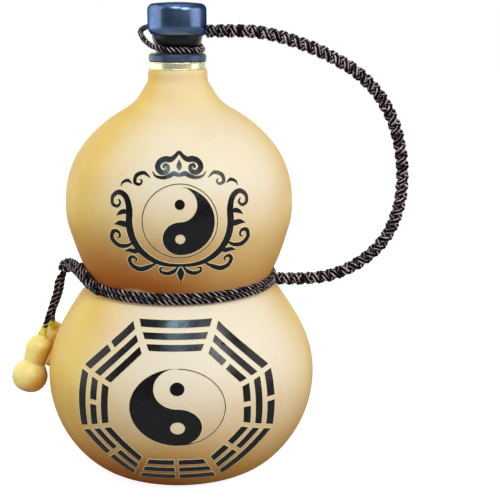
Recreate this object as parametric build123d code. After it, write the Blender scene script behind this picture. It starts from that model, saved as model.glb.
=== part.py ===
"""Gourd water bottle: a dried bottle gourd with a wax lining, a turned screw-capped spout, a braided
carrying handle, a cord wound twice round its waist, and two small gourd charms that hang from a knot.

Millimetres, +Z up, origin at the middle of the base, +X towards the handle, -Y the front."""
from build123d import *
from math import asin, cos, pi, radians, sin, sqrt, tan
import os

# The gourd: radius and height of each place where its side turns
base_radius = 40.0
lower_bulb_radius = 67.1
lower_bulb_height = 46.0
waist_radius = 45.1
waist_height = 95.0
upper_bulb_radius = 55.8
upper_bulb_height = 132.0
neck_radius = 14.3
neck_height = 195.0
mouth_height = 197.4
mouth_edge = 0.5
blossom_dimple_radius = 6.0
blossom_dimple_depth = 1.4
blossom_arc_share = 0.6

# The gourd's wall and the hollow inside it
gourd_wall = 4.0
floor_thickness = 5.0
hollow_floor_radius = 36.5
hollow_neck_height = 188.0
neck_bore_radius = 8.7
lining_thickness = 0.8
lining_gap = 0.1
lining_top = 178.0

# Outward and upward shares of each stretch of a gourd's side, from one turn to the next
shoulder_shares = ((0.200, 0.408), (0.555, 0.694), (0.891, 0.898))
bosom_shares = ((0.150, 0.135), (0.542, 0.405), (0.841, 0.676))
neck_shares = ((0.034, 0.206), (0.166, 0.413), (0.366, 0.571), (0.612, 0.698), (0.875, 0.825), (0.976, 0.929))

# How far a belly's curve holds to its base, as a share of its width, and to its side, as a share of its height
belly_hold_shares = (0.24, 0.62)
charm_belly_hold_shares = (0.5, 0.6)

# The mouth: ferrule, washer and turned spout, from the gourd upwards
ferrule_radius = 13.9
ferrule_thickness = 3.7
ferrule_bead = 0.7
ferrule_bead_share = 0.4
washer_radius = 13.5
washer_thickness = 0.5
spigot_radius = 8.6
spigot_depth = 17.0
spigot_chamfer = 0.8
flange_radius = 13.9
flange_thickness = 3.4
flange_bevel = 1.0
groove_radius = 10.0
groove_width = 3.4
groove_fillet = 0.6
bowl_foot_radius = 10.7
bowl_rim_radius = 12.1
bowl_height = 5.1
bowl_bulge = 0.35
thread_bore_radius = 6.98
thread_bore_depth = 14.6
pour_bore_radius = 5.6

# The screw cap with its plug and its sealing ring
cap_radius = 14.15
cap_foot_radius = 12.5
cap_height = 15.2
cap_foot_rise = 4.0
cap_foot_arc_shares = (0.3, 0.45)
cap_shoulder = 3.2
cap_crown = 0.6
cap_gap = 0.3
plug_radius = 6.9
plug_reach = 14.0
plug_socket_depth = 9.0
plug_chamfer = 0.9
plug_recess_radius = 3.6
plug_recess_depth = 10.0
glue_gap = 0.05
seal_radius = 10.2
seal_thickness = 1.3
seal_gap = 0.05
seal_play = 0.3
seal_round = 0.3

# Cords
cord_diameter = 2.6
handle_diameter = 6.4
handle_end_drop = 1.4
cord_gap = 0.45
cord_seat_gap = 0.25

# The waist winding: where the cord leaves for the knot, and where it steps from its upper to its lower turn
winding_start = -153.0
winding_end = 497.0
winding_step_start = 155.0
winding_step_end = 205.0
winding_back_start = 360.0
winding_back_drop = 1.2
winding_stops = (-100.0, -40.0, 20.0, 80.0, 125.0, 155.0, 180.0, 205.0, 255.0, 310.0, 360.0, 410.0, 455.0)

# The side knot, with the hinge line of the hanging tail through its middle
knot_place = (-56.4, 8.0, 99.0)
knot_radius = 3.7
knot_end_radius = 2.7
knot_length = 9.0
knot_flat_depth = 0.3
tail_gap = 0.35
tail_leave = (-0.6, 0.0, -0.8)
tail_first_run = 4.2

# The charms: small gourds on the two ends of the tail
charm_base_radius = 2.2
charm_lower_radius = 9.0
charm_lower_height = 8.2
charm_waist_radius = 5.6
charm_waist_height = 15.8
charm_upper_radius = 6.3
charm_upper_height = 22.9
charm_neck_radius = 2.5
charm_neck_height = 30.4
charm_hole_radius = 2.1
charm_hole_depth = 9.0
stem_foot_radius = 2.2
stem_top_radius = 1.75
stem_length = 3.9
stem_bore_gap = 0.06
stem_lead = 5.0
stopper_knot_radius = 1.8
charm_a_top = (-69.0, 2.0, 68.4)
charm_a_belly = (-77.2, 0.0, 43.7)
charm_b_top = (-67.4, 20.0, 67.5)
charm_b_belly = (-68.9, 34.8, 45.6)

# Routes of the free cords, from end to end
handle_route = [
    (17.8, 9.0, 214.8),
    (34.0, 4.6, 215.9),
    (52.0, 1.2, 212.3),
    (72.0, 0.0, 204.8),
    (91.5, 0.0, 193.4),
    (105.0, 0.0, 175.6),
    (111.2, 0.0, 153.5),
    (111.3, 0.0, 131.0),
    (103.9, 0.0, 111.2),
    (89.3, 0.0, 98.6),
    (74.0, 0.0, 92.8),
    (60.5, 0.0, 92.1),
]
mouth_loop_stops = [
    ((-1.8, 18.6, 217.3), (-1.0, 0.0, 0.0)),
    ((-17.4, 3.2, 214.2), (0.0, -1.0, -0.4)),
    ((-8.6, -9.8, 207.4), (0.80, -0.60, -0.17)),
    ((1.0, -11.9, 206.75), (1.0, 0.086, 0.0)),
    ((11.7, -2.4, 206.8), (0.2, 1.0, 0.06)),
    ((11.6, 5.6, 207.3), (-0.36, 0.82, 0.46)),
]
tail_route_a = [
    (-62.9, 5.9, 86.5),
    (-65.2, 4.4, 79.8),
]
tail_route_b = [
    (-63.0, 11.2, 86.3),
    (-65.3, 14.2, 79.2),
]

# How a cord's corners are rounded, and how directions along it are read
corner_run_share = 0.45
nearby_degrees = 0.5
overrun = 1.0

# Heights and pitches that follow from the values above
ferrule_base = mouth_height
washer_base = ferrule_base + ferrule_thickness
flange_base = washer_base + washer_thickness
flange_top = flange_base + flange_thickness
groove_top = flange_top + groove_width
rim_height = groove_top + bowl_height
seal_base = rim_height + seal_gap
cap_base = rim_height + cap_gap
cap_top = cap_base + cap_height
winding_pitch = cord_diameter + cord_gap

# How fast the gourd's side leaves the waist, above and below: the height squared over the flare
flare_above = (bosom_shares[0][1] * (upper_bulb_height - waist_height)) ** 2
flare_above /= bosom_shares[0][0] * (upper_bulb_radius - waist_radius)
flare_below = ((1 - shoulder_shares[-1][1]) * (waist_height - lower_bulb_height)) ** 2
flare_below /= (1 - shoulder_shares[-1][0]) * (lower_bulb_radius - waist_radius)

UP = Vector(0, 0, 1)
OUT = Vector(1, 0, 0)

os.makedirs("parts", exist_ok=True)


def save(shape, node):
    """Write one node's solids to its own file."""
    export_step(shape, f"parts/{node}.step")


def side_point(radius, height):
    """A point of a turned outline, in the XZ plane."""
    return Vector(radius, 0, height)


def turned(points_or_edges):
    """The solid that a closed outline in the XZ plane sweeps round the Z axis."""
    return revolve(make_face(points_or_edges), axis=Axis.Z)


def stretch(start, end, shares, leave, arrive):
    """One smooth stretch of a gourd's side between two (radius, height) turns."""
    across = end[0] - start[0]
    rise = end[1] - start[1]
    inner = [side_point(start[0] + out * across, start[1] + up * rise) for out, up in shares]
    return Spline(side_point(*start), *inner, side_point(*end), tangents=(leave, arrive))


def belly(base, lower, hold_shares):
    """The curve that leaves a gourd's base flat and comes up square into its widest turn."""
    out = hold_shares[0] * (lower[0] - base[0])
    up = hold_shares[1] * (lower[1] - base[1])
    return Bezier(
        side_point(*base),
        side_point(base[0] + out, base[1]),
        side_point(lower[0], lower[1] - up),
        side_point(*lower),
    )


def gourd_side(hold_shares, base, lower, waist, upper, neck):
    """A gourd's side from its base to its neck: how its belly holds, then each turn as (radius, height)."""
    return [
        belly(base, lower, hold_shares),
        stretch(lower, waist, shoulder_shares, UP, UP),
        stretch(waist, upper, bosom_shares, UP, UP),
        stretch(upper, neck, neck_shares, UP, UP),
    ]


def outer_side():
    """The side of the gourd bottle itself."""
    return gourd_side(
        belly_hold_shares,
        (base_radius, 0),
        (lower_bulb_radius, lower_bulb_height),
        (waist_radius, waist_height),
        (upper_bulb_radius, upper_bulb_height),
        (neck_radius, neck_height),
    )


def hollow_solid(inset, top):
    """The hollow inside the gourd, drawn in by an inset and closed at a given height."""
    draw = gourd_wall + inset
    floor = floor_thickness + inset
    bore = neck_bore_radius - inset
    side = gourd_side(
        belly_hold_shares,
        (hollow_floor_radius - inset, floor),
        (lower_bulb_radius - draw, lower_bulb_height),
        (waist_radius - draw, waist_height),
        (upper_bulb_radius - draw, upper_bulb_height),
        (bore, hollow_neck_height),
    )
    closing = Polyline(
        side_point(bore, hollow_neck_height),
        side_point(bore, top),
        side_point(0, top),
        side_point(0, floor),
        side_point(hollow_floor_radius - inset, floor),
    )
    return turned([*side, closing])


def gourd_shell():
    """The dried gourd with its drilled mouth, natural base and dried blossom end."""
    neck = Polyline(
        side_point(neck_radius, neck_height),
        side_point(neck_radius, mouth_height - mouth_edge),
        side_point(neck_radius - mouth_edge, mouth_height),
        side_point(0, mouth_height),
        side_point(0, blossom_dimple_depth),
    )
    dimple = ThreePointArc(
        side_point(0, blossom_dimple_depth),
        side_point(blossom_dimple_radius * blossom_arc_share, blossom_dimple_depth * blossom_arc_share),
        side_point(blossom_dimple_radius, 0),
    )
    foot = Line(side_point(blossom_dimple_radius, 0), side_point(base_radius, 0))
    body = turned([*outer_side(), neck, dimple, foot])
    return body - hollow_solid(0, mouth_height + overrun)


def wax_lining():
    """The wax skin that seals the inside, open below the spigot."""
    skin = hollow_solid(lining_gap, mouth_height) - hollow_solid(lining_gap + lining_thickness, mouth_height)
    above = Cylinder(
        upper_bulb_radius,
        mouth_height,
        align=(Align.CENTER, Align.CENTER, Align.MIN),
    )
    return skin - Pos(0, 0, lining_top) * above


def neck_ferrule():
    """The brass ring on the gourd's mouth, beaded at both edges."""
    waist = ferrule_radius - ferrule_bead * ferrule_bead_share
    bore = spigot_radius + glue_gap * 2
    bead_low = ferrule_base + ferrule_bead
    bead_high = washer_base - ferrule_bead
    outline = [
        Line(side_point(bore, ferrule_base), side_point(waist, ferrule_base)),
        ThreePointArc(
            side_point(waist, ferrule_base),
            side_point(ferrule_radius, ferrule_base + ferrule_bead / 2),
            side_point(waist, bead_low),
        ),
        Line(side_point(waist, bead_low), side_point(waist, bead_high)),
        ThreePointArc(
            side_point(waist, bead_high),
            side_point(ferrule_radius, washer_base - ferrule_bead / 2),
            side_point(waist, washer_base),
        ),
        Polyline(side_point(waist, washer_base), side_point(bore, washer_base), side_point(bore, ferrule_base)),
    ]
    return turned(outline)


def ring(inner, outer, low, high):
    """A plain flat ring."""
    corners = [(inner, low), (outer, low), (outer, high), (inner, high), (inner, low)]
    return turned([Polyline(*[side_point(*corner) for corner in corners])])


def mouth_washer():
    """The thin dark washer between the ferrule and the spout's flange."""
    return ring(spigot_radius + glue_gap * 2, washer_radius, washer_base, flange_base)


def spout():
    """The turned spout: spigot, flange, cord groove and bowl, bored through and threaded above."""
    foot = flange_base - spigot_depth
    mid_bowl = (bowl_foot_radius + bowl_rim_radius) / 2 + bowl_bulge
    lower = Polyline(
        side_point(0, foot),
        side_point(spigot_radius - spigot_chamfer, foot),
        side_point(spigot_radius, foot + spigot_chamfer),
        side_point(spigot_radius, flange_base),
        side_point(flange_radius, flange_base),
        side_point(flange_radius, flange_top - flange_bevel),
        side_point(flange_radius - flange_bevel, flange_top),
        side_point(groove_radius + groove_fillet, flange_top),
    )
    groove = [
        ThreePointArc(
            side_point(groove_radius + groove_fillet, flange_top),
            side_point(groove_radius, flange_top + groove_width / 2),
            side_point(bowl_foot_radius, groove_top),
        ),
        ThreePointArc(
            side_point(bowl_foot_radius, groove_top),
            side_point(mid_bowl, groove_top + bowl_height / 2),
            side_point(bowl_rim_radius, rim_height),
        ),
    ]
    top = Polyline(side_point(bowl_rim_radius, rim_height), side_point(0, rim_height), side_point(0, foot))
    body = turned([lower, *groove, top])
    body -= ring(0, pour_bore_radius, foot - overrun, rim_height)
    return body - ring(0, thread_bore_radius, rim_height - thread_bore_depth, rim_height + overrun)


def cap_shell():
    """The glossy drum of the cap, with the recess for its seal and the socket for its plug."""
    shoulder_height = cap_top - cap_crown - cap_shoulder
    crown_radius = cap_radius - cap_shoulder
    crown_edge = cap_top - cap_crown
    foot_draw = cap_radius - cap_foot_radius
    foot_in, foot_up = cap_foot_arc_shares
    diagonal = cap_shoulder * sqrt(0.5)
    crown_sphere = (crown_radius**2 + cap_crown**2) / (2 * cap_crown)
    half_crown = asin(crown_radius / crown_sphere) / 2
    outline = [
        Line(side_point(0, cap_base), side_point(cap_foot_radius, cap_base)),
        ThreePointArc(
            side_point(cap_foot_radius, cap_base),
            side_point(cap_radius - foot_in * foot_draw, cap_base + foot_up * cap_foot_rise),
            side_point(cap_radius, cap_base + cap_foot_rise),
        ),
        Line(side_point(cap_radius, cap_base + cap_foot_rise), side_point(cap_radius, shoulder_height)),
        ThreePointArc(
            side_point(cap_radius, shoulder_height),
            side_point(crown_radius + diagonal, shoulder_height + diagonal),
            side_point(crown_radius, crown_edge),
        ),
        ThreePointArc(
            side_point(crown_radius, crown_edge),
            side_point(crown_sphere * sin(half_crown), cap_top - crown_sphere * (1 - cos(half_crown))),
            side_point(0, cap_top),
        ),
        Line(side_point(0, cap_top), side_point(0, cap_base)),
    ]
    recess_top = seal_base + seal_thickness + seal_gap
    body = turned(outline)
    body -= ring(0, seal_radius + seal_play, cap_base - overrun, recess_top)
    return body - ring(0, plug_radius + glue_gap, cap_base, recess_top + plug_socket_depth)


def cap_plug():
    """The threaded plug that is glued into the drum and screws down into the spout."""
    foot = rim_height - plug_reach
    top = seal_base + seal_thickness + seal_gap + plug_socket_depth - glue_gap
    outline = Polyline(
        side_point(0, foot + plug_recess_depth),
        side_point(plug_recess_radius - plug_chamfer, foot + plug_recess_depth),
        side_point(plug_recess_radius, foot + plug_recess_depth - plug_chamfer),
        side_point(plug_recess_radius, foot),
        side_point(plug_radius - plug_chamfer, foot),
        side_point(plug_radius, foot + plug_chamfer),
        side_point(plug_radius, top),
        side_point(0, top),
        side_point(0, foot + plug_recess_depth),
    )
    return turned([outline])


def cap_seal():
    """The soft ring that lifts with the cap while the cap turns on it."""
    inner = thread_bore_radius
    low = seal_base
    high = seal_base + seal_thickness
    outline = Polyline(
        side_point(inner, low),
        side_point(seal_radius - seal_round, low),
        side_point(seal_radius, low + seal_round),
        side_point(seal_radius, high - seal_round),
        side_point(seal_radius - seal_round, high),
        side_point(inner, high),
        side_point(inner, low),
    )
    return turned([outline])


def corner_radii(points):
    """As large an arc at each corner as the runs beside it allow."""
    runs = [(b - a) for a, b in zip(points, points[1:])]
    radii = []
    for before, after in zip(runs, runs[1:]):
        half_turn = radians(before.get_angle(after) / 2)
        radii.append(corner_run_share * min(before.length, after.length) / tan(half_turn))
    return radii


def tube(path, diameter, name, least_radius):
    """A round tube along a path, checked against its section times its length."""
    section = Plane(origin=path @ 0, z_dir=path % 0) * Circle(diameter / 2)
    solid = sweep(section, path=path)
    expected = pi * (diameter / 2) ** 2 * path.length
    print(
        f"{name}: length {path.length:.1f}, least radius {least_radius:.1f}, "
        f"volume {solid.volume:.1f} of {expected:.1f}"
    )
    return solid


def routed_tube(route, diameter, name):
    """A tube along straight runs that tangent arcs join."""
    points = [Vector(point) for point in route]
    radii = corner_radii(points)
    print(name, "radii", " ".join(f"{radius:.1f}" for radius in radii))
    return tube(FilletPolyline(*points, radius=radii), diameter, name, min(radii))


def arc_radius(start, leave, end):
    """The radius of the arc that leaves start along a direction and comes to end."""
    chord = end - start
    turn = radians(leave.get_angle(chord))
    return chord.length / (2 * sin(turn)) if turn > 1e-4 else 1e6


def biarc(start, leave, end, arrive):
    """Two tangent arcs from one point and direction to another, and their lesser radius."""
    span = end - start
    both = leave + arrive
    a = 2 * (leave.dot(arrive) - 1)
    b = -2 * span.dot(both)
    c = span.dot(span)
    if abs(a) < 1e-9:
        reach = -c / b
    else:
        reach = (-b - sqrt(b * b - 4 * a * c)) / (2 * a)
    first = start + leave * reach
    last = end - arrive * reach
    middle = (first + last) * 0.5
    across = (last - first).normalized()
    arcs = [TangentArc(start, middle, tangent=leave), TangentArc(middle, end, tangent=across)]
    return arcs, min(arc_radius(start, leave, middle), arc_radius(middle, across, end))


def biarc_path(stops):
    """A smooth path through (point, direction) stops, straight for one cord diameter at both ends."""
    stops = [(Vector(point), Vector(direction).normalized()) for point, direction in stops]
    first, leave = stops[0]
    last, arrive = stops[-1]
    edges = [Line(first - leave * cord_diameter, first)]
    radii = []
    for (start, out), (end, onward) in zip(stops, stops[1:]):
        arcs, radius = biarc(start, out, end, onward)
        edges += arcs
        radii.append(radius)
    edges.append(Line(last, last + arrive * cord_diameter))
    return Wire(edges), radii


def handle_braid():
    """The round braided handle, from the mouth loop over to the waist winding."""
    reach = winding_radius(winding_pitch / 2) + cord_diameter / 2 + cord_seat_gap
    waist_end = (reach, 0.0, waist_height - handle_end_drop)
    return routed_tube([*handle_route, waist_end], handle_diameter, "handle_braid")


def mouth_loop():
    """The loose cord loop that lies in the spout's groove and passes up behind the cap."""
    face = Vector(*handle_route[0])
    onward = (Vector(*handle_route[1]) - face).normalized()
    aside = UP.cross(onward).normalized() * ((cord_diameter + cord_gap) / 2)
    before = face - onward * cord_diameter
    path, radii = biarc_path([(before + aside, onward * -1), *mouth_loop_stops, (before - aside, onward)])
    print("mouth_loop radii", " ".join(f"{radius:.1f}" for radius in radii))
    return tube(path, cord_diameter, "mouth_loop", min(radii))


def winding_radius(offset):
    """How far from the axis the winding's centre line runs, at a height above or below the waist."""
    flare_length = flare_above if offset > 0 else flare_below
    flare = offset**2 / flare_length
    seat = cord_diameter / 2 * sqrt(1 + (2 * offset / flare_length) ** 2)
    return waist_radius + flare + seat + cord_seat_gap


def eased(value, start, end):
    """A smooth step from 0 to 1."""
    share = min(max((value - start) / (end - start), 0), 1)
    return share * share * (3 - 2 * share)


def winding_point(azimuth):
    """The winding's centre line: the upper turn, a step down at the left, then the lower turn."""
    offset = winding_pitch / 2 - winding_pitch * eased(azimuth, winding_step_start, winding_step_end)
    offset -= winding_back_drop * eased(azimuth, winding_back_start, winding_end)
    radius = winding_radius(offset)
    angle = radians(azimuth)
    return Vector(radius * cos(angle), radius * sin(angle), waist_height + offset)


def winding_stop(azimuth):
    """The centre line's point and direction at an azimuth."""
    ahead = winding_point(azimuth + nearby_degrees)
    behind = winding_point(azimuth - nearby_degrees)
    return winding_point(azimuth), (ahead - behind).normalized()


def knot_seat(corner):
    """Where a lead of the winding meets the knot, and the direction in which it points at the knot."""
    towards = (Vector(*knot_place) - corner).normalized()
    return Vector(*knot_place) - towards * (knot_radius - knot_flat_depth), towards


def winding_stops_all():
    """All stops of the winding, from the knot round the waist twice and back to the knot."""
    front = winding_point(winding_start)
    back = winding_point(winding_end)
    front_seat, front_towards = knot_seat(front)
    back_seat, back_towards = knot_seat(back)
    round_waist = [winding_stop(a) for a in (winding_start, *winding_stops, winding_end)]
    first = (front_seat - front_towards * cord_diameter, front_towards * -1)
    last = (back_seat - back_towards * cord_diameter, back_towards)
    return [first, *round_waist, last]


def least_gap(path, diameter, name):
    """Print the least gap between stretches of a cord that are more than a few diameters apart along it."""
    count = int(path.length / (diameter / 2))
    points = [path @ (i / count) for i in range(count + 1)]
    apart = int(4 * diameter / (path.length / count))
    gaps = [(points[i] - points[j]).length for i in range(count + 1) for j in range(i + apart, count + 1)]
    print(f"{name}: least gap to itself {min(gaps) - diameter:.2f}")


def waist_winding():
    """The cord round the waist, one unbroken tube of two turns with both ends in the side knot."""
    path, radii = biarc_path(winding_stops_all())
    least_gap(path, cord_diameter, "waist_winding")
    return tube(path, cord_diameter, "waist_winding", min(radii))


def side_knot():
    """The knot at the left of the waist, a barrel along Y with a flat where each lead comes in."""
    half = knot_length / 2
    outline = [
        Line((0, -half, 0), (knot_end_radius, -half, 0)),
        ThreePointArc((knot_end_radius, -half, 0), (knot_radius, 0, 0), (knot_end_radius, half, 0)),
        Polyline((knot_end_radius, half, 0), (0, half, 0), (0, -half, 0)),
    ]
    barrel = Pos(*knot_place) * revolve(make_face(outline), axis=Axis.Y)
    for azimuth in (winding_start, winding_end):
        seat, towards = knot_seat(winding_point(azimuth))
        beyond = Plane(origin=seat, z_dir=towards * -1) * Box(
            knot_length * 2,
            knot_length * 2,
            knot_length,
            align=(Align.CENTER, Align.CENTER, Align.MIN),
        )
        barrel -= beyond
    return barrel


def charm_frame(top, belly):
    """The place of a charm: its own Z axis runs up its stem, and its origin is the middle of its base."""
    up = (Vector(*top) - Vector(*belly)).normalized()
    return Plane(origin=Vector(*belly) - up * charm_lower_height, z_dir=up)


def charm_gourd(frame):
    """A charm's small gourd, with the hole that takes the cord's stopper knot."""
    side = gourd_side(
        charm_belly_hold_shares,
        (charm_base_radius, 0),
        (charm_lower_radius, charm_lower_height),
        (charm_waist_radius, charm_waist_height),
        (charm_upper_radius, charm_upper_height),
        (charm_neck_radius, charm_neck_height),
    )
    closing = Polyline(
        side_point(charm_neck_radius, charm_neck_height),
        side_point(0, charm_neck_height),
        side_point(0, 0),
        side_point(charm_base_radius, 0),
    )
    hole_floor = charm_neck_height - charm_hole_depth
    body = turned([*side, closing]) - ring(0, charm_hole_radius, hole_floor, charm_neck_height + overrun)
    return frame * body


def charm_stem(frame):
    """A charm's dried stem, a tapered plug that the cord passes through."""
    bore = cord_diameter / 2 + stem_bore_gap
    top = charm_neck_height + stem_length
    outline = Polyline(
        side_point(bore, charm_neck_height),
        side_point(stem_foot_radius, charm_neck_height),
        side_point(stem_top_radius, top),
        side_point(bore, top),
        side_point(bore, charm_neck_height),
    )
    return frame * turned([outline])


def tail_cord(route, side, frame, name):
    """A tail strand: down from the knot, through its charm's stem, to a stopper knot inside the charm."""
    knot_height = charm_neck_height - stopper_knot_radius - tail_gap
    stopper = frame.from_local_coords(Vector(0, 0, knot_height))
    above_stem = frame.from_local_coords(Vector(0, 0, charm_neck_height + stem_length + stem_lead))
    aside = Vector(0, side * (cord_diameter + cord_gap) / 2, 0)
    start = Vector(*knot_place) + aside + Vector(*tail_leave) * (knot_radius + tail_gap)
    second = start + Vector(*tail_leave) * tail_first_run
    strand = routed_tube([start, second, *route, above_stem, stopper], cord_diameter, name)
    return strand + frame * Pos(0, 0, knot_height) * Sphere(stopper_knot_radius)


def build():
    save(gourd_shell(), "gourd_shell")
    save(wax_lining(), "wax_lining")
    save(neck_ferrule(), "neck_ferrule")
    save(mouth_washer(), "mouth_washer")
    save(spout(), "spout")
    save(cap_shell(), "cap_shell")
    save(cap_plug(), "cap_plug")
    save(cap_seal(), "cap_seal")
    save(handle_braid(), "handle_braid")
    save(mouth_loop(), "mouth_loop")
    save(waist_winding(), "waist_winding")
    save(side_knot(), "side_knot")
    charms = (
        ("a", -1, charm_a_top, charm_a_belly, tail_route_a),
        ("b", 1, charm_b_top, charm_b_belly, tail_route_b),
    )
    for letter, side, top, belly, route in charms:
        frame = charm_frame(top, belly)
        save(charm_gourd(frame), f"charm_{letter}_gourd")
        save(charm_stem(frame), f"charm_{letter}_stem")
        save(tail_cord(route, side, frame, f"tail_cord_{letter}"), f"tail_cord_{letter}")


build()
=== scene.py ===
import math
from itertools import product

import bpy
import numpy as np
from bpy.props import FloatProperty, FloatVectorProperty, IntProperty, PointerProperty
from bpy.types import Operator, Panel, PropertyGroup
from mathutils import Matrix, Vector, noise
from mathutils.geometry import delaunay_2d_cdt


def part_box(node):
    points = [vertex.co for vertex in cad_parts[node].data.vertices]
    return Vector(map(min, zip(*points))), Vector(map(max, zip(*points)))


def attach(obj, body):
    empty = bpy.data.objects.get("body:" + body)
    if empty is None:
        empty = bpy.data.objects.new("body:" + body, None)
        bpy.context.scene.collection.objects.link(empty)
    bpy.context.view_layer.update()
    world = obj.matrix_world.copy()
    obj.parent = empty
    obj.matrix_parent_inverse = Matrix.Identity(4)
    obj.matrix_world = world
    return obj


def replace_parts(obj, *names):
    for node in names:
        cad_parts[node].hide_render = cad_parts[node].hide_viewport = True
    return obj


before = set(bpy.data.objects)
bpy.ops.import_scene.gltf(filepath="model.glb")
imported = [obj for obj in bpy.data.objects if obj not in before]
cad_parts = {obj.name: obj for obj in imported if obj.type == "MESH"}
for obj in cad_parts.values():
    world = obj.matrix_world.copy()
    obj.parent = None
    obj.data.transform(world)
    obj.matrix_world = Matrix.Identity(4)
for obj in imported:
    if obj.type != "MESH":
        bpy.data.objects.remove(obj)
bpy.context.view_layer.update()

bl_info = {
    "name": "Gourd water bottle",
    "version": (1, 0, 0),
    "blender": (4, 5, 0),
    "location": "View3D > Sidebar > Gourd bottle",
    "description": "Dresses the packed gourd bottle: skin, pattern, screw cap, cords and charms",
    "category": "Add Mesh",
}

MM = 0.001
# The gourd's height, a quarter turn, and the heights between which the flange's colour ends and the spout's
# near black begins, partly its own black and partly painted shade under the cap
SKIN_HEIGHT = 0.2
QUARTER = math.pi / 2
FLANGE_TOP = (0.2046, 0.2054)
# How brown the undersides are, partly as painted shade, and how strong the painted highlight on the front is,
# as (share of the gourd's height, level) stops
BROWN_AND_SHADE_STOPS = (
    (0.0, 1.0), (0.05, 0.92), (0.10, 0.62), (0.17, 0.26), (0.28, 0.0), (0.475, 0.0),
    (0.482, 0.97), (0.515, 0.94), (0.55, 0.76), (0.60, 0.40), (0.68, 0.0),
)
PAINTED_SHEEN_STOPS = (
    (0.06, 0.0), (0.20, 0.62), (0.32, 1.0), (0.455, 0.95), (0.50, 0.15), (0.60, 0.30), (0.74, 0.95),
    (0.84, 0.80), (0.93, 0.45),
)
# The skin's waves as (turns per metre, share), how far they swing, and how far the skin is drawn in under them
SKIN_WAVES = ((26.0, 1.0), (62.0, 0.35))
WAVE_SWING, WAVE_SINK = 0.8, 0.6
# The step along the side over which its direction is read, and the least slope that counts as facing out or in
NEAR, FACING = 0.0006, 0.02
# The charts of the pattern on each bulb: azimuth in degrees, and height and radius in millimetres
LOWER_CHART = (-1.94, 49.9, 67.1)
UPPER_CHART = (0.03, 133.8, 55.8)
# The step between points inside an inlay, in millimetres, and how deep it is sunk into the skin
CHART_GRID, INLAY_SUNK = 2.0, 0.0001


def colour_setting(part, value):
    """A colour that a user may change."""
    return FloatVectorProperty(
        name=part.capitalize(), description="Colour of the " + part,
        subtype="COLOR", size=3, min=0.0, max=1.0, default=value,
    )


def length_setting(part, millimetres):
    """A length that a user may change, given in millimetres and kept in metres."""
    return FloatProperty(
        name=part.capitalize(), description="The " + part,
        unit="LENGTH", subtype="DISTANCE", precision=5, default=millimetres * MM,
    )


def angle_setting(part, degrees):
    """An angle that a user may change, given in degrees and kept in radians."""
    return FloatProperty(
        name=part.capitalize(), description="The " + part, unit="ROTATION", default=math.radians(degrees)
    )


class GourdSettings(PropertyGroup):
    """The bottle's dried skin."""

    pale: colour_setting("polished skin", (0.800, 0.550, 0.125))
    amber: colour_setting("skin's mottling", (0.700, 0.360, 0.050))
    painted_sheen: colour_setting("front, where a pale highlight is painted", (0.84, 0.74, 0.63))
    brown: colour_setting("two undersides, brown partly as painted shade", (0.430, 0.105, 0.009))
    speck: colour_setting("pores and small scars", (0.330, 0.150, 0.045))
    unevenness: length_setting("unevenness of the skin", 0.14)
    ring_step: length_setting("distance between the rings of the skin's mesh", 1.45)
    segments: IntProperty(name="Segments", description="Points round each ring", default=176, min=32)


class PatternSettings(PropertyGroup):
    """The burnt and lacquered pattern."""

    ink: colour_setting("black lacquer", (0.0060, 0.0045, 0.0055))
    halo: colour_setting("scraped line beside the ink", (0.880, 0.740, 0.460))
    ink_rise: length_setting("height of the lacquer on the skin", 0.15)
    halo_rise: length_setting("height of the scraped line on the skin", 0.05)
    halo_width: length_setting("width of the scraped line", 0.42)
    line_width: length_setting("width of the thin ring lines", 0.38)


class FittingSettings(PropertyGroup):
    """The cap, the spout and the brass ferrule."""

    lacquer: colour_setting("cap's drum", (0.118, 0.178, 0.320))
    spout: colour_setting("turned spout", (0.010, 0.009, 0.008))
    flange: colour_setting("spout's flange", (0.050, 0.075, 0.120))
    brass: colour_setting("ferrule", (0.950, 0.890, 0.600))
    rubber: colour_setting("rubber washer", (0.016, 0.016, 0.017))
    silicone: colour_setting("soft ring under the cap", (0.700, 0.680, 0.620))
    wax: colour_setting("wax lining", (0.560, 0.330, 0.095))
    plug: colour_setting("threaded plug", (0.030, 0.027, 0.026))
    thread_lead: length_setting("rise of the thread in one turn", 4.0)
    thread_crest: length_setting("width of the thread's crest", 0.7)
    thread_root: length_setting("width of the thread's root", 1.8)


class CordSettings(PropertyGroup):
    """The twisted cord and the braided handle."""

    dark: colour_setting("cord's filaments", (0.0040, 0.0022, 0.0026))
    warm: colour_setting("cord's lighter filaments", (0.014, 0.008, 0.008))
    painted_glint: colour_setting("painted glint on each ply's crest", (0.760, 0.580, 0.570))
    cord: length_setting("diameter of the twisted cord", 2.85)
    lay: length_setting("length of one turn of the cord's plies", 8.2)
    braid: length_setting("diameter of the braided handle", 6.7)
    braid_lead: length_setting("length of one turn of the handle's strands", 10.4)


class CharmSettings(PropertyGroup):
    """The two small gourds that hang from the side knot."""

    skin: colour_setting("charms", (0.930, 0.730, 0.220))
    ripe_and_shade: colour_setting("charms' riper patches and painted shade", (0.760, 0.330, 0.025))
    stem: colour_setting("dried stems", (0.950, 0.780, 0.040))
    unevenness: length_setting("unevenness of the charms", 0.22)


class StageSettings(PropertyGroup):
    """The camera, the lamps and the floor."""

    camera_place: FloatVectorProperty(
        name="Camera", description="Where the camera stands", subtype="XYZ", unit="LENGTH",
        default=(0.0, -0.538, 0.2298),
    )
    pitch: angle_setting("angle that the camera looks down", 12.80)
    yaw: angle_setting("angle that the camera looks to the right", 3.715)
    lens: FloatProperty(name="Lens", description="Focal length in millimetres", default=79.2)
    floor: colour_setting("floor", (0.38, 0.38, 0.38))


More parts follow.
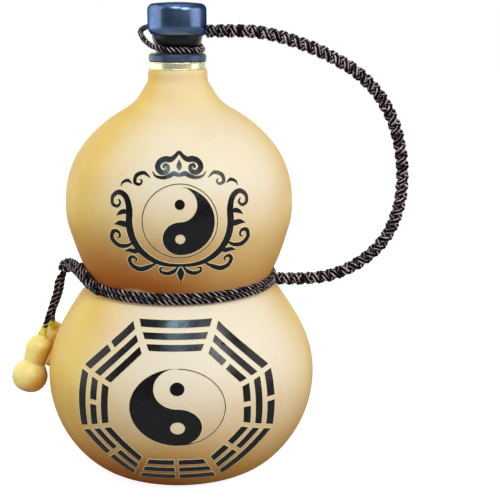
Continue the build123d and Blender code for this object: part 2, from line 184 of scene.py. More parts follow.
class Nodes:
    """A node tree, and short ways to add to it."""

    def __init__(self, tree):
        self.nodes, self.links = tree.nodes, tree.links

    def feed(self, value, socket):
        """Set a socket, or link it to another socket."""
        if isinstance(value, bpy.types.NodeSocket):
            self.links.new(value, socket)
        elif socket.type == "RGBA" and len(value) == 3:
            socket.default_value = (*value, 1.0)
        else:
            socket.default_value = value

    def add(self, kind, inputs, **settings):
        """Add a node with its settings and inputs, and give its outputs."""
        node = self.nodes.new("ShaderNode" + kind)
        for name, value in settings.items():
            setattr(node, name, value)
        for key, value in inputs.items():
            self.feed(value, node.inputs[key])
        return node.outputs

    def sum(self, how, first, second):
        """Two values worked together."""
        return self.add("Math", {0: first, 1: second}, operation=how)["Value"]

    def times(self, first, second):
        """The product of two values."""
        return self.sum("MULTIPLY", first, second)

    def spread(self, value, low, high, out_low=0.0, out_high=1.0):
        """A value drawn out from one range to another, and held there."""
        inputs = {"Value": value, "From Min": low, "From Max": high, "To Min": out_low, "To Max": out_high}
        return self.add("MapRange", inputs, interpolation_type="SMOOTHSTEP")["Result"]

    def part(self, vector, axis):
        """One coordinate of a vector."""
        return self.add("SeparateXYZ", {"Vector": vector})[axis]

    def toward(self, vector, direction):
        """How far a vector points in a direction."""
        return self.add("VectorMath", {0: vector, 1: direction}, operation="DOT_PRODUCT")["Value"]

    def ray(self, kind):
        """1 for the rays of a kind, and 0 for all others."""
        return self.add("LightPath", {})[f"Is {kind} Ray"]


class Finish(Nodes):
    """One procedural material: its shader, and the nodes that feed it."""

    def __init__(self, name, **sockets):
        self.material = bpy.data.materials.new(name)
        self.material.use_nodes = True
        super().__init__(self.material.node_tree)
        self.shader = self.nodes["Principled BSDF"]
        self.place = self.add("TexCoord", {})["Object"]
        self.set(**sockets)

    def set(self, **sockets):
        """Set the shader's sockets, with _ for the spaces in their names."""
        for name, value in sockets.items():
            self.feed(value, self.shader.inputs[name.replace("_", " ")])

    def stretched(self, x, y, z, source=None):
        """The piece's own coordinates, drawn out along an axis."""
        return self.add("Mapping", {"Vector": source or self.place, "Scale": (x, y, z)})["Vector"]

    def grain(self, scale, detail=2.0, roughness=0.5, distortion=0.0, source=None):
        """Noise, from 0 to 1, with a scale in turns per metre."""
        inputs = {"Scale": scale, "Detail": detail, "Roughness": roughness, "Distortion": distortion}
        return self.add("TexNoise", {"Vector": source or self.place, **inputs})["Fac"]

    def blend(self, share, first, second, how="MIX"):
        """Two colours mixed by a share."""
        return self.add("Mix", {0: share, 6: first, 7: second}, data_type="RGBA", blend_type=how)[2]

    def relief(self, height, depth, before=None):
        """A bump of a real depth in metres, on top of another."""
        under = {} if before is None else {"Normal": before}
        return self.add("Bump", {"Height": height, "Strength": 1.0, "Distance": depth, **under})["Normal"]

    def heights(self, value, stops):
        """A value read off a curve of (position, value) stops."""
        ramp = self.nodes.new("ShaderNodeValToRGB")
        self.feed(value, ramp.inputs["Fac"])
        colours = ramp.color_ramp.elements
        while len(colours) < len(stops):
            colours.new(0.5)
        for element, (position, level) in zip(colours, stops):
            element.position = position
            element.color = (level, level, level, 1.0)
        return ramp.outputs["Color"]

    def scars(self, scale, outer, inner, patch, patch_high):
        """Small round marks, gathered in patches."""
        cells = self.add("TexVoronoi", {"Vector": self.place, "Scale": scale})["Distance"]
        return self.times(self.spread(cells, outer, inner), self.spread(self.grain(patch, 1), 0.55, patch_high))

    def clouded(self, cloud, colour, other, low, high, rough, rougher):
        """Set a colour and a roughness that follow one grain."""
        tone = self.blend(self.spread(cloud, low, high), colour, other)
        self.set(Base_Color=tone, Roughness=self.spread(cloud, 0.3, 0.7, rough, rougher))


def skin_finish():
    """Polished gourd skin: mottled amber, brown below partly as painted shade, a painted highlight on the
    front, with pores and a lacquered gloss.
    """
    look = bpy.context.scene.bottle_gourd
    skin = Finish("gourd_skin", IOR=1.45, Specular_IOR_Level=0.20)
    mottle = skin.spread(skin.grain(24, 4, 0.55, 0.4), 0.34, 0.68)
    streaks = skin.spread(skin.grain(70, 3, 0.5, 0.2, skin.stretched(1, 1, 0.18)), 0.40, 0.70)
    tone = skin.blend(skin.times(mottle, 0.50), look.pale, look.amber)
    tone = skin.blend(skin.times(streaks, 0.16), tone, look.amber)
    uneven = skin.times(skin.sum("SUBTRACT", skin.grain(30, 3), 0.5), 0.016)
    height = skin.sum("DIVIDE", skin.sum("ADD", skin.part(skin.place, "Z"), uneven), SKIN_HEIGHT)
    facing = skin.add("VectorMath", {0: skin.stretched(1, 1, 0)}, operation="NORMALIZE")["Vector"]
    # painted shade: the brown on both undersides is partly shade, and is laid on weaker toward the right, where
    # the lamps fall
    right = skin.spread(skin.toward(facing, (0.94, -0.34, 0.0)), 0.1, 0.95, 1.0, 0.52)
    under = skin.times(skin.heights(height, BROWN_AND_SHADE_STOPS), right)
    # painted highlight: the front lamp's pale sheen is laid into the colour on the front of both bulbs
    front = skin.spread(skin.toward(facing, (0.26, -0.966, 0.0)), 0.30, 0.96)
    painted_sheen = skin.times(skin.times(front, skin.heights(height, PAINTED_SHEEN_STOPS)), 0.78)
    tone = skin.blend(painted_sheen, tone, look.painted_sheen)
    tone = skin.blend(under, tone, look.brown)
    pores = skin.scars(190.0, 0.13, 0.05, 48, 0.66)
    tone = skin.blend(skin.times(pores, 0.55), tone, look.speck)
    gloss = skin.spread(skin.grain(160, 3), 0.3, 0.7, 0.36, 0.46)
    normal = skin.relief(skin.grain(55, 2), 0.00035)
    normal = skin.relief(skin.grain(700, 3, 0.6), 0.000016, normal)
    normal = skin.relief(pores, -0.00005, normal)
    skin.set(Base_Color=tone, Roughness=skin.sum("ADD", gloss, skin.times(under, 0.28)), Normal=normal)
    return skin.material


def ink_finish():
    """Black lacquer laid with a brush."""
    look = bpy.context.scene.bottle_pattern
    ink = Finish("pattern_ink", IOR=1.50, Specular_IOR_Level=0.34)
    wear = ink.spread(ink.grain(420, 4, 0.65), 0.50, 0.78)
    tone = ink.blend(ink.times(wear, 0.25), look.ink, (0.035, 0.024, 0.020))
    normal = ink.relief(ink.grain(260, 3, 0.6, 0.0, ink.stretched(1, 1, 0.3)), 0.00006)
    normal = ink.relief(ink.grain(55, 2), 0.00035, normal)
    ink.set(Base_Color=tone, Roughness=ink.spread(ink.grain(300, 3), 0.3, 0.7, 0.20, 0.32), Normal=normal)
    return ink.material


def halo_finish():
    """The pale line that is scraped into the skin beside the ink."""
    halo = Finish("pattern_halo", IOR=1.45)
    scraped = halo.grain(900, 3, 0.6)
    halo.clouded(scraped, bpy.context.scene.bottle_pattern.halo, (0.80, 0.60, 0.30), 0.35, 0.75, 0.40, 0.55)
    halo.set(Normal=halo.relief(scraped, 0.00003))
    return halo.material


def lacquer_finish(name, colour, gloss, turned, foot=None, **sockets):
    """Dark turned stock under lacquer, with faint tool rings and scuffs; a foot may differ."""
    black = Finish(name, IOR=1.50, **sockets)
    cloud = black.grain(90, 3, 0.55)
    if foot is not None:
        # where a foot is given, the colour above it differs; on the spout that darker colour is partly painted
        # shade under the cap
        colour = black.blend(black.spread(black.part(black.place, "Z"), *FLANGE_TOP), foot, colour)
    paler = black.blend(1.0, colour, (1.5, 1.5, 1.5), "MULTIPLY")
    tone = black.blend(black.spread(cloud, 0.35, 0.75), colour, paler)
    rings = black.grain(1, 2, 0.5, 0.0, black.stretched(30, 30, turned))
    scuffs = black.spread(black.grain(1, 3, 0.6, 1.2, black.stretched(900, 900, 120)), 0.62, 0.80)
    rough = black.sum("ADD", black.spread(cloud, 0.3, 0.7, gloss, gloss + 0.07), black.times(scuffs, 0.10))
    normal = black.relief(scuffs, -0.000006, black.relief(rings, 0.00002))
    black.set(Base_Color=tone, Roughness=rough, Normal=normal)
    return black.material


def brass_finish():
    """Bright turned brass, a little tarnished."""
    brass = Finish("ferrule_brass", Metallic=0.75)
    tarnish = brass.spread(brass.grain(260, 4, 0.6), 0.45, 0.75)
    tone = brass.blend(brass.times(tarnish, 0.45), bpy.context.scene.bottle_fittings.brass, (0.56, 0.40, 0.17))
    lines = brass.relief(brass.grain(1, 3, 0.6, 0.0, brass.stretched(60, 60, 5200)), 0.000012)
    brass.set(Base_Color=tone, Roughness=brass.spread(tarnish, 0.0, 1.0, 0.26, 0.40), Normal=lines)
    return brass.material


def soft_finish(name, colour, rough, depth, **sockets):
    """Rubber, silicone or wax: an even colour with a little clouding and a soft grain."""
    soft = Finish(name, **sockets)
    darker = tuple(0.72 * c for c in colour)
    soft.clouded(soft.grain(220, 3, 0.6), colour, darker, 0.3, 0.75, rough, rough + 0.1)
    soft.set(Normal=soft.relief(soft.grain(1400, 3, 0.6), depth))
    return soft.material


def cord_finish():
    """Silky dark brown filaments that run along each ply, with a pale glint painted on the crest that faces
    outwards.
    """
    look = bpy.context.scene.bottle_cords
    cord = Finish("cord_brown", IOR=1.5, Specular_IOR_Level=0.12)
    run = cord.add("UVMap", {}, uv_map="run")["UV"]
    fibres = cord.grain(1.0, 3, 0.7, 0.0, cord.stretched(30, 260, 1, run))
    bands = cord.grain(1.0, 2, 0.5, 0.0, cord.stretched(3, 190, 1, run))
    # painted highlight: the pale glint along each ply's outward crest is laid into the colour
    crest = cord.sum("COSINE", cord.times(cord.part(run, "X"), 2 * math.pi), 0.0)
    crest = cord.sum("ADD", crest, cord.times(cord.sum("SUBTRACT", bands, 0.5), 1.1))
    painted_glint = cord.times(cord.spread(crest, 0.90, 1.05), cord.spread(fibres, 0.25, 0.60, 0.55, 1.0))
    tone = cord.blend(cord.spread(fibres, 0.40, 0.68), look.dark, look.warm)
    tone = cord.blend(cord.times(painted_glint, 0.85), tone, look.painted_glint)
    cord.set(Base_Color=tone, Roughness=cord.spread(fibres, 0.3, 0.7, 0.24, 0.36))
    cord.set(Normal=cord.relief(fibres, 0.00004))
    return cord.material


def charm_finish():
    """Small polished gourds, yellow with riper patches, and orange-brown painted shade on the side that faces
    down and to the right.
    """
    look = bpy.context.scene.bottle_charms
    charm = Finish("charm_skin", IOR=1.46, Specular_IOR_Level=0.4)
    patches = charm.times(charm.spread(charm.grain(75, 3, 0.5, 0.3), 0.46, 0.72), 0.55)
    # painted shade: the side that faces down and to the right in the world turns orange-brown; the noise
    # patches are real riper skin
    facing = charm.add("NewGeometry", {})["Normal"]
    side = charm.spread(charm.toward(facing, (0.62, -0.25, -0.74)), 0.02, 0.72)
    ripe_and_shade = charm.sum("MAXIMUM", patches, side)
    tone = charm.blend(charm.times(ripe_and_shade, 0.85), look.skin, look.ripe_and_shade)
    dots = charm.scars(520.0, 0.16, 0.06, 140, 0.68)
    tone = charm.blend(charm.times(dots, 0.5), tone, (0.30, 0.13, 0.03))
    normal = charm.relief(charm.grain(170, 2), 0.00016)
    charm.set(Base_Color=tone, Roughness=charm.spread(charm.grain(300, 3), 0.3, 0.7, 0.24, 0.34))
    charm.set(Normal=charm.relief(charm.grain(1600, 3), 0.00001, normal))
    return charm.material


def stem_finish():
    """Dried yellow stem with fibres along it."""
    stem = Finish("charm_stem", IOR=1.45)
    fibre = stem.grain(1.0, 4, 0.65, 0.0, stem.stretched(1500, 1500, 160))
    stem.clouded(fibre, bpy.context.scene.bottle_charms.stem, (0.30, 0.20, 0.030), 0.38, 0.72, 0.45, 0.62)
    stem.set(Normal=stem.relief(fibre, 0.00006))
    return stem.material


def linked(name, data):
    """An object of some data, in the scene."""
    made = bpy.data.objects.new(name, data)
    bpy.context.scene.collection.objects.link(made)
    return made


def placed(name, mesh, material, body):
    """A mesh as a piece that rides on a body and takes its finish from a slot."""
    mesh.materials.append(material)
    mesh.shade_smooth()
    made = linked(name, mesh)
    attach(made, body)
    return made


def piece(name, points, faces, material, body, smooth=35.0):
    """Make a mesh piece, smooth across edges that turn less than an angle in degrees."""
    mesh = bpy.data.meshes.new(name)
    mesh.from_pydata([tuple(point) for point in points], [], [tuple(face) for face in faces])
    mesh.validate()
    made = placed(name, mesh, material, body)
    mesh.set_sharp_from_angle(angle=math.radians(smooth))
    return made


def dress(node, material):
    """Give a CAD node that stays its finish."""
    node_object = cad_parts[node]
    node_object.data.materials.clear()
    node_object.data.materials.append(material)


def smoothstep(share):
    """A share from 0 to 1 that starts and ends slowly."""
    return share * share * (3 - 2 * share)


def unit(vectors):
    """Vectors drawn to length 1."""
    return vectors / np.linalg.norm(vectors, axis=-1, keepdims=True)


def length_along(points):
    """The distance along a line at each of its points."""
    return np.concatenate([[0.0], np.cumsum(np.linalg.norm(np.diff(points, axis=0), axis=1))])


def axes_along(axis):
    """Three axes, the last one along a direction and the first one as near +X as it can be."""
    up = Vector(axis).normalized()
    side = (Vector((1, 0, 0)) - up * up.x).normalized()
    return np.array([side, up.cross(side), up], float)


def wheel(segments):
    """Even angles all round."""
    return np.arange(segments) * (2 * math.pi / segments)


def ring(angles, radius, height):
    """Points round the Z axis."""
    height = np.broadcast_to(height, angles.shape)
    return np.stack([radius * np.cos(angles), radius * np.sin(angles), height], -1)


def ring_grid(rings, segments):
    """The quads between rings of points with the same count, the last ring joined to the first."""
    faces = []
    for number in range(rings):
        low, high = number * segments, (number + 1) % rings * segments
        for k in range(segments):
            after = (k + 1) % segments
            faces.append((low + k, low + after, high + after, high + k))
    return faces


class Skin:
    """The side of a turned node, read from the frame: where a point of it is, given its azimuth and the
    distance along the side from the base."""

    def __init__(self, node, origin, axis, unevenness, still):
        self.origin = np.array(origin, float)
        self.axes = axes_along(axis)
        self.unevenness, self.still = unevenness, still
        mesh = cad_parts[node].data
        place = np.zeros(len(mesh.vertices) * 3)
        facing = np.zeros(len(mesh.vertices) * 3)
        mesh.vertices.foreach_get("co", place)
        mesh.vertex_normals.foreach_get("vector", facing)
        place = (place.reshape(-1, 3) - self.origin) @ self.axes.T
        facing = facing.reshape(-1, 3) @ self.axes.T
        radius = np.hypot(place[:, 0], place[:, 1])
        outward = np.sum(place[:, :2] * facing[:, :2], 1) / np.maximum(radius, 1e-9)
        self.outer = self.outline(place[outward > FACING], radius[outward > FACING])
        self.inner = self.outline(place[outward < -FACING], radius[outward < -FACING])
        self.along = length_along(self.outer)

    @staticmethod
    def outline(place, radius):
        """The (radius, height) pairs of a side, from the lowest up."""
        levels = {}
        for height, out in zip(np.round(place[:, 2], 5), radius):
            levels[height] = max(levels.get(height, 0.0), out)
        return np.array([(levels[height], height) for height in sorted(levels)])

    def read(self, along):
        """The radius and the height at distances along the side."""
        return np.stack([np.interp(along, self.along, values) for values in self.outer.T])

    def points(self, azimuth, along, lift):
        """Points on the skin, lifted off it; azimuth 0 is the front, and grows to the right."""
        azimuth, along = np.broadcast_arrays(np.asarray(azimuth, float), np.asarray(along, float))
        radius, height = self.read(along)
        out, rise = self.read(along + NEAR) - self.read(along - NEAR)
        size = np.maximum(np.hypot(rise, out), 1e-9)
        calm = 1.0
        for low, high, reach in self.still:
            away = np.maximum(np.maximum(low - height, height - high), 0.0)
            calm = calm * smoothstep(np.clip(away / reach, 0.0, 1.0))
        seeds = ring(azimuth - QUARTER, radius, height).reshape(-1, 3) + self.origin
        waves = [sum(share * noise.noise(Vector(p) * scale) for scale, share in SKIN_WAVES) for p in seeds]
        drift = np.array(waves).reshape(height.shape) * WAVE_SWING - WAVE_SINK
        off = self.unevenness * calm * drift + lift
        local = ring(azimuth - QUARTER, radius + off * rise / size, height - off * out / size)
        return local @ self.axes + self.origin


def skin_mesh(skin, step, segments, closing):
    """The outer skin as rings, then the closing outline inwards and back to the first ring, as one form."""
    total, azimuths = skin.along[-1], wheel(segments)
    rings = [skin.points(azimuths, stop, 0.0) for stop in np.linspace(0.0, total, int(total / step) + 1)]
    rings += [ring(azimuths - QUARTER, *place) @ skin.axes + skin.origin for place in closing]
    return np.concatenate(rings), ring_grid(len(rings), segments)


def bottle_skin():
    """The bottle's side, calm where the cords, the ferrule and the floor touch it."""
    still = ((0.0, 0.0015, 0.010), (0.091, 0.099, 0.012), (0.188, SKIN_HEIGHT, 0.012))
    return Skin("gourd_shell", (0, 0, 0), (0, 0, 1), bpy.context.scene.bottle_gourd.unevenness, still)


def inside(points, outlines):
    """Whether flat points lie inside one of some closed outlines."""
    x, y = points[:, 0], points[:, 1]
    within_any = np.zeros(len(points), bool)
    for outline in outlines:
        within = np.zeros(len(points), bool)
        for (ax, ay), (bx, by) in zip(outline, np.roll(outline, -1, axis=0)):
            if ay != by:
                within ^= ((ay > y) != (by > y)) & (x < (bx - ax) * (y - ay) / (by - ay) + ax)
        within_any |= within
    return within_any


def finely(outline, step=1.2):
    """A closed outline with more points along its straight runs."""
    runs = []
    for start, end in zip(outline, np.roll(outline, -1, axis=0)):
        count = max(int(np.hypot(*(end - start)) / step) + 1, 1)
        runs += [start + (end - start) * (k / count) for k in range(count)]
    return np.array(runs)


def widened(outline, by):
    """An outline drawn out on all sides, with mitred corners."""
    ahead = np.roll(outline, -1, axis=0) - outline
    ahead /= np.maximum(np.hypot(*ahead.T), 1e-12)[:, None]
    behind = np.roll(ahead, 1, axis=0)
    area = np.sum(outline[:, 0] * np.roll(outline[:, 1], -1) - outline[:, 1] * np.roll(outline[:, 0], -1))
    turn = 1.0 if area > 0 else -1.0
    out = np.stack([ahead[:, 1] + behind[:, 1], -ahead[:, 0] - behind[:, 0]], -1) * turn
    size = np.maximum(np.sum(out * out, 1), 0.35)
    return outline + out * (2 * by / size)[:, None]


class Inlay:
    """Thin closed shells on the bottle's skin, from flat outlines in millimetres of a chart: right and up from
    a middle that has an azimuth and a height."""

    def __init__(self, skin, azimuth, height, radius):
        self.skin, self.radius = skin, radius
        self.azimuth = math.radians(azimuth)
        self.along = np.interp(height * MM, skin.outer[:, 1], skin.along)
        self.vertices, self.faces = [], []

    def lay(self, outlines, rise, cuts=()):
        """Lay the union of some outlines, without what the cuts take away, as one shell."""
        outlines = [finely(np.asarray(outline, float)) for outline in outlines]
        cuts = [finely(np.asarray(cut, float)) for cut in cuts]
        every = np.concatenate(outlines + cuts)
        edges, start = [], 0
        for outline in outlines + cuts:
            count = len(outline)
            edges += [(start + k, start + (k + 1) % count) for k in range(count)]
            start += count
        (left, low), (right, high) = every.min(0), every.max(0)
        across, rows = np.meshgrid(np.arange(left, right, CHART_GRID), np.arange(low, high, CHART_GRID))
        across = across + (np.arange(len(rows)) % 2)[:, None] * CHART_GRID / 2
        spots = np.stack([across.ravel(), rows.ravel()], -1)
        spots = np.concatenate([every, spots[inside(spots, outlines)]])
        flat, _, triangles, *_ = delaunay_2d_cdt([Vector(spot) for spot in spots], edges, [], 0, 1e-5)
        flat = np.array([tuple(point) for point in flat])
        triangles = np.array([tuple(triangle) for triangle in triangles])
        middles = flat[triangles].mean(1)
        self.shell(flat, triangles[inside(middles, outlines) & ~inside(middles, cuts)], rise)

    def shell(self, flat, triangles, rise):
        """Close flat triangles to a shell that is sunk a little into the skin."""
        used, fresh = np.unique(triangles, return_inverse=True)
        count, base = len(used), sum(len(block) for block in self.vertices)
        across, up = flat[used].T
        for lift in (rise, -INLAY_SUNK):
            self.vertices.append(
                self.skin.points(self.azimuth + across / self.radius, self.along + up * MM, lift)
            )
        sides = {}
        for a, b, c in (fresh.reshape(-1, 3) + base).tolist():
            self.faces += [(a, b, c), (count + c, count + b, count + a)]
            for start, end in ((a, b), (b, c), (c, a)):
                if not sides.pop((end, start), False):
                    sides[start, end] = True
        self.faces += [(end, start, count + start, count + end) for start, end in sides]

    def make(self, name, material, slot):
        """Make the piece."""
        return piece(name, np.concatenate(self.vertices), self.faces, material, "bottle", smooth=50.0)


def oval(middle, across, up, start=0.0, end=360.0, step=4.0):
    """Points of an oval or of a stretch of one, in millimetres and degrees."""
    count = max(int(abs(end - start) / step), 2)
    closed = abs(end - start) >= 360
    angles = np.radians(np.linspace(start, end, count + 1))[: count if closed else count + 1]
    return np.stack([middle[0] + across * np.cos(angles), middle[1] + up * np.sin(angles)], -1)


def half_disc(middle, across, up, side):
    """The dark half of a yin-yang disc: side -1 has it on the left, with its head below."""
    mirror = np.array([-side, 1.0])
    outer = oval((0, 0), across, up, 90, 270, 3)
    low_head = oval((0, -up / 2), across / 2, up / 2, -90, 90, 5)[1:]
    high_head = oval((0, up / 2), across / 2, up / 2, 270, 90, 5)[1:-1]
    return np.concatenate([outer, low_head, high_head]) * mirror + np.array(middle)


def arc_band(middle, across, up, width, start, end):
    """A thin line that follows an oval."""
    outer = oval(middle, across, up, start, end, 3)
    inner = oval(middle, across - width, up - width, end, start, 3)
    return np.concatenate([outer, inner])


def full_ring(middle, radius, width):
    """A thin ring as two half bands, which join to one."""
    return [arc_band(middle, radius, radius, width, start, start + 183) for start in (0, 180)]


def smooth_line(points, per_run=7):
    """A smooth line through points, for brush strokes."""
    points = np.asarray(points, float)
    padded = np.concatenate([[2 * points[0] - points[1]], points, [2 * points[-1] - points[-2]]])
    line = []
    for k in range(len(points) - 1):
        a, b, c, d = padded[k : k + 4]
        for t in np.arange(per_run) / per_run:
            line.append(b + 0.5 * t * (c - a + t * (2 * a - 5 * b + 4 * c - d + t * (3 * (b - c) + d - a))))
    return np.array([*line, points[-1]])


def brush_stroke(points, widths, mirror=1.0):
    """The outline of a stroke that swells and thins along its line."""
    line = smooth_line(points) * np.array([mirror, 1.0])
    ahead = np.gradient(line, axis=0)
    ahead /= np.hypot(*ahead.T)[:, None]
    side = np.stack([-ahead[:, 1], ahead[:, 0]], -1)
    place = np.linspace(0, 1, len(line))
    width = np.interp(place, np.linspace(0, 1, len(widths)), widths)[:, None] / 2
    return np.concatenate([line + side * width, (line - side * width)[::-1]])


# The eight trigrams, clockwise from the top: True is a whole bar, from the outer bar inwards
TRIGRAMS = (
    (True, True, True), (True, True, False), (False, True, False), (True, False, False),
    (False, False, False), (False, False, True), (True, False, True), (False, True, True),
)
# Each trigram's bars, as shares of the octagon for their outer and inner edges
BAR_SHARES = ((1.0, 0.91), (0.85, 0.775), (0.72, 0.645))
# The octagon's middle, its corners clockwise from the top left, each with the gap that the bars leave there,
# and the width of the split in a broken bar, in millimetres
OCTAGON_MIDDLE = np.array((-1.3, -1.7))
OCTAGON = (
    (-24.8, 42.0, 1.9), (24.8, 42.0, 1.9), (50.5, 15.2, 1.2), (50.5, -15.2, 1.2),
    (24.8, -42.0, 1.9), (-24.8, -42.0, 1.9), (-50.5, -15.2, 1.2), (-50.5, 15.2, 1.2),
)
BAR_SPLIT = 2.4


def trigram_bars():
    """The bars of the octagon, each a slice of it with mitred ends."""
    bars = []
    for side, whole in enumerate(TRIGRAMS):
        *start, start_gap = OCTAGON[side]
        *end, end_gap = OCTAGON[(side + 1) % 8]
        start, end = np.array(start), np.array(end)
        run, halfway = end - start, (start + end) / 2
        half_split = run / np.hypot(*run) * (BAR_SPLIT / 2)
        into, back = (
            run * (gap * np.hypot(*corner) / abs(corner[0] * run[1] - corner[1] * run[0]))
            for corner, gap in ((start, start_gap), (end, end_gap))
        )
        for (outer, inner), unbroken in zip(BAR_SHARES, whole):
            first, last = (start * outer + into, start * inner + into), (end * outer - back, end * inner - back)
            if unbroken:
                bars.append([first[0], last[0], last[1], first[1]])
            else:
                bars.append([first[0], halfway * outer - half_split, halfway * inner - half_split, first[1]])
                bars.append([halfway * outer + half_split, last[0], last[1], halfway * inner + half_split])
    return [np.array(bar) + OCTAGON_MIDDLE for bar in bars]


# The scroll on the upper bulb, right half only, in millimetres from the middle of its chart:
# the line of each stroke, and its widths from end to end
SCROLL = (
    (((0, -20.5), (6, -20.2), (12, -18.3), (17.2, -14.3), (20.6, -8.6), (22.0, -2.0), (21.9, 4.2), (23.6, 9.2),
      (27.2, 11.2), (30.2, 9.4), (30.2, 6.2), (27.8, 5.2), (26.3, 6.8), (27.3, 8.2)),
     (1.0, 1.6, 2.3, 2.5, 2.3, 1.9, 1.5, 1.2, 0.9, 0.5)),
    (((10.5, -19.2), (14.6, -21.4), (19.0, -22.9), (22.8, -21.7), (24.0, -18.8), (22.3, -16.9), (20.4, -17.9),
      (21.0, -19.4)),
     (0.4, 1.6, 1.9, 1.6, 1.2, 0.9, 0.4)),
    (((20.2, -9.6), (24.0, -11.8), (28.2, -11.9), (31.0, -9.1), (30.1, -5.9), (27.5, -5.6), (26.7, -7.6),
      (28.0, -8.5)),
     (0.4, 1.4, 1.8, 1.5, 1.2, 0.8, 0.4)),
    (((1.2, -21.2), (3.4, -23.6), (6.4, -24.6), (9.2, -23.8), (9.4, -21.9), (7.7, -21.8)),
     (0.5, 1.5, 1.5, 1.1, 0.7, 0.4)),
    (((0, -21.6), (0, -24.0), (0, -26.4), (0, -29.0)), (0.6, 2.6, 2.0, 0.2)),
    (((21.9, -3.4), (24.2, -2.2), (26.6, -1.9), (29.2, -2.6)), (0.5, 2.1, 1.7, 0.2)),
    (((21.9, 2.6), (24.2, 3.2), (26.2, 2.6), (28.0, 1.2)), (0.5, 1.7, 1.4, 0.2)),
    (((17.6, -13.8), (20.4, -14.2), (23.0, -13.9), (25.6, -14.6)), (0.5, 1.8, 1.4, 0.2)),
    (((13.2, 18.0), (16.4, 20.0), (19.8, 18.8), (20.2, 15.9), (18.0, 14.9), (16.9, 16.3), (17.9, 17.2)),
     (0.3, 1.3, 1.5, 1.2, 0.9, 0.7, 0.4)),
    (((21.5, 15.2), (23.8, 16.4), (26.2, 15.4), (26.8, 13.6)), (0.3, 1.2, 0.9, 0.2)),
    (((6.6, 22.3), (7.5, 23.0), (6.6, 23.9), (5.2, 22.9), (5.7, 20.9), (8.2, 20.4), (10.2, 22.6), (9.4, 25.3),
      (6.7, 26.5), (4.3, 26.3), (2.3, 27.5), (0, 30.2)),
     (0.5, 0.9, 1.2, 1.5, 1.8, 2.0, 2.2, 2.2, 1.8, 1.2)),
    (((0, 19.2), (2.6, 19.9), (4.6, 18.9), (7.4, 18.1), (10.6, 18.7), (12.4, 20.6)),
     (1.3, 1.7, 1.5, 1.2, 0.8, 0.3)),
    (((0, 21.2), (0, 22.6), (0, 24.2), (0, 26.2)), (0.4, 2.0, 1.8, 0.2)),
)
# How much larger than in the list the scroll is laid, and how much wider its strokes
SCROLL_SCALE, BRUSH_SCALE = 1.07, 1.38


def yin_yang(inlay, middle, half, side, dot, rim, rise, grow):
    """Lay a yin-yang disc and its rim; the halo grows past the ink on all sides, and fills the pale dot."""
    (x, y), (across, up) = middle, half
    dark = widened(half_disc(middle, across, up, side), grow)
    inlay.lay([dark], rise, () if grow else [oval((x, y - up / 2), *dot)])
    inlay.lay([oval((x, y + up / 2), dot[0] + grow, dot[1] + grow)], rise)
    inlay.lay(rim, rise)


def pattern_parts(skin, line, rise, grow):
    """One layer of the pattern on both bulbs, drawn out on all sides by grow, in millimetres."""
    names = ("trigrams", "low_disc", "high_disc", "scroll")
    charts = (LOWER_CHART, LOWER_CHART, UPPER_CHART, UPPER_CHART)
    parts = {name: Inlay(skin, *chart) for name, chart in zip(names, charts)}
    for bar in trigram_bars():
        parts["trigrams"].lay([widened(bar, grow)], rise)
    middle, half = (-0.15, -1.0), (22.45, 18.55)
    rim = arc_band(middle, half[0] + grow / 2, half[1] + grow / 2, line + grow, -89, 89)
    yin_yang(parts["low_disc"], middle, half, -1, (3.4, 3.05), [rim], rise, grow)
    middle = (0.0, -0.7)
    rim = full_ring(middle, 17.4 + grow / 2, line + grow)
    yin_yang(parts["high_disc"], middle, (15.8, 15.8), 1, (2.3, 2.3), rim, rise, grow)
    strokes = []
    for points, widths in SCROLL:
        widths = [BRUSH_SCALE * width + 2 * grow for width in widths]
        for mirror in (1.0,) if all(x == 0 for x, _ in points) else (1.0, -1.0):
            strokes.append(brush_stroke(np.array(points) * SCROLL_SCALE, widths, mirror))
    parts["scroll"].lay(strokes, rise)
    return parts


class BOTTLE_OT_gourd(Operator):
    """Make the dried gourd and its wax lining"""

    bl_idname = "bottle.gourd"
    bl_label = "Gourd"

    def execute(self, context):
        look = context.scene.bottle_gourd
        skin = bottle_skin()
        mouth, floor_height = (8.7 * MM, 197.4 * MM), 5.0 * MM
        inner = skin.inner[skin.inner[:, 1] > floor_height + 0.1 * MM]
        steps = np.linspace(inner[-1, 1], inner[0, 1], 70)
        wall = [(np.interp(z, inner[:, 1], inner[:, 0]), z) for z in steps]
        floor = [(36.5 * MM, floor_height), (0.1 * MM, floor_height)]
        blossom = [((6.0 * math.cos(a) + 0.1) * MM, 1.4 * MM * math.sin(a)) for a in np.linspace(QUARTER, 0, 9)]
        closing = [mouth, *wall, *floor, *blossom, (37.5 * MM, 0.0)]
        points, faces = skin_mesh(skin, look.ring_step, look.segments, closing)
        gourd = piece("gourd_skin", points, faces, skin_finish(), "bottle")
        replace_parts(gourd, "gourd_shell")
        wax = soft_finish("beeswax", context.scene.bottle_fittings.wax, 0.42, 0.00004, IOR=1.44)
        dress("wax_lining", wax)
        return {"FINISHED"}


class BOTTLE_OT_pattern(Operator):
    """Lay the burnt and lacquered pattern on both bulbs"""

    bl_idname = "bottle.pattern"
    bl_label = "Pattern"

    def execute(self, context):
        look = context.scene.bottle_pattern
        skin = bottle_skin()
        for layer, finish, rise, grow in (
            ("ink", ink_finish(), look.ink_rise, 0.0),
            ("halo", halo_finish(), look.halo_rise, look.halo_width / MM),
        ):
            for name, inlay in pattern_parts(skin, look.line_width / MM, rise, grow).items():
                inlay.make(f"{name}_{layer}", finish, "pattern_" + layer)
        return {"FINISHED"}


def turned_piece(name, outline, material, body, segments=120):
    """A piece turned round the bottle's axis from a closed (radius, height) outline in millimetres."""
    points = np.concatenate([ring(wheel(segments), radius, height) for radius, height in outline]) * MM
    return piece(name, points, ring_grid(len(outline), segments), material, body)


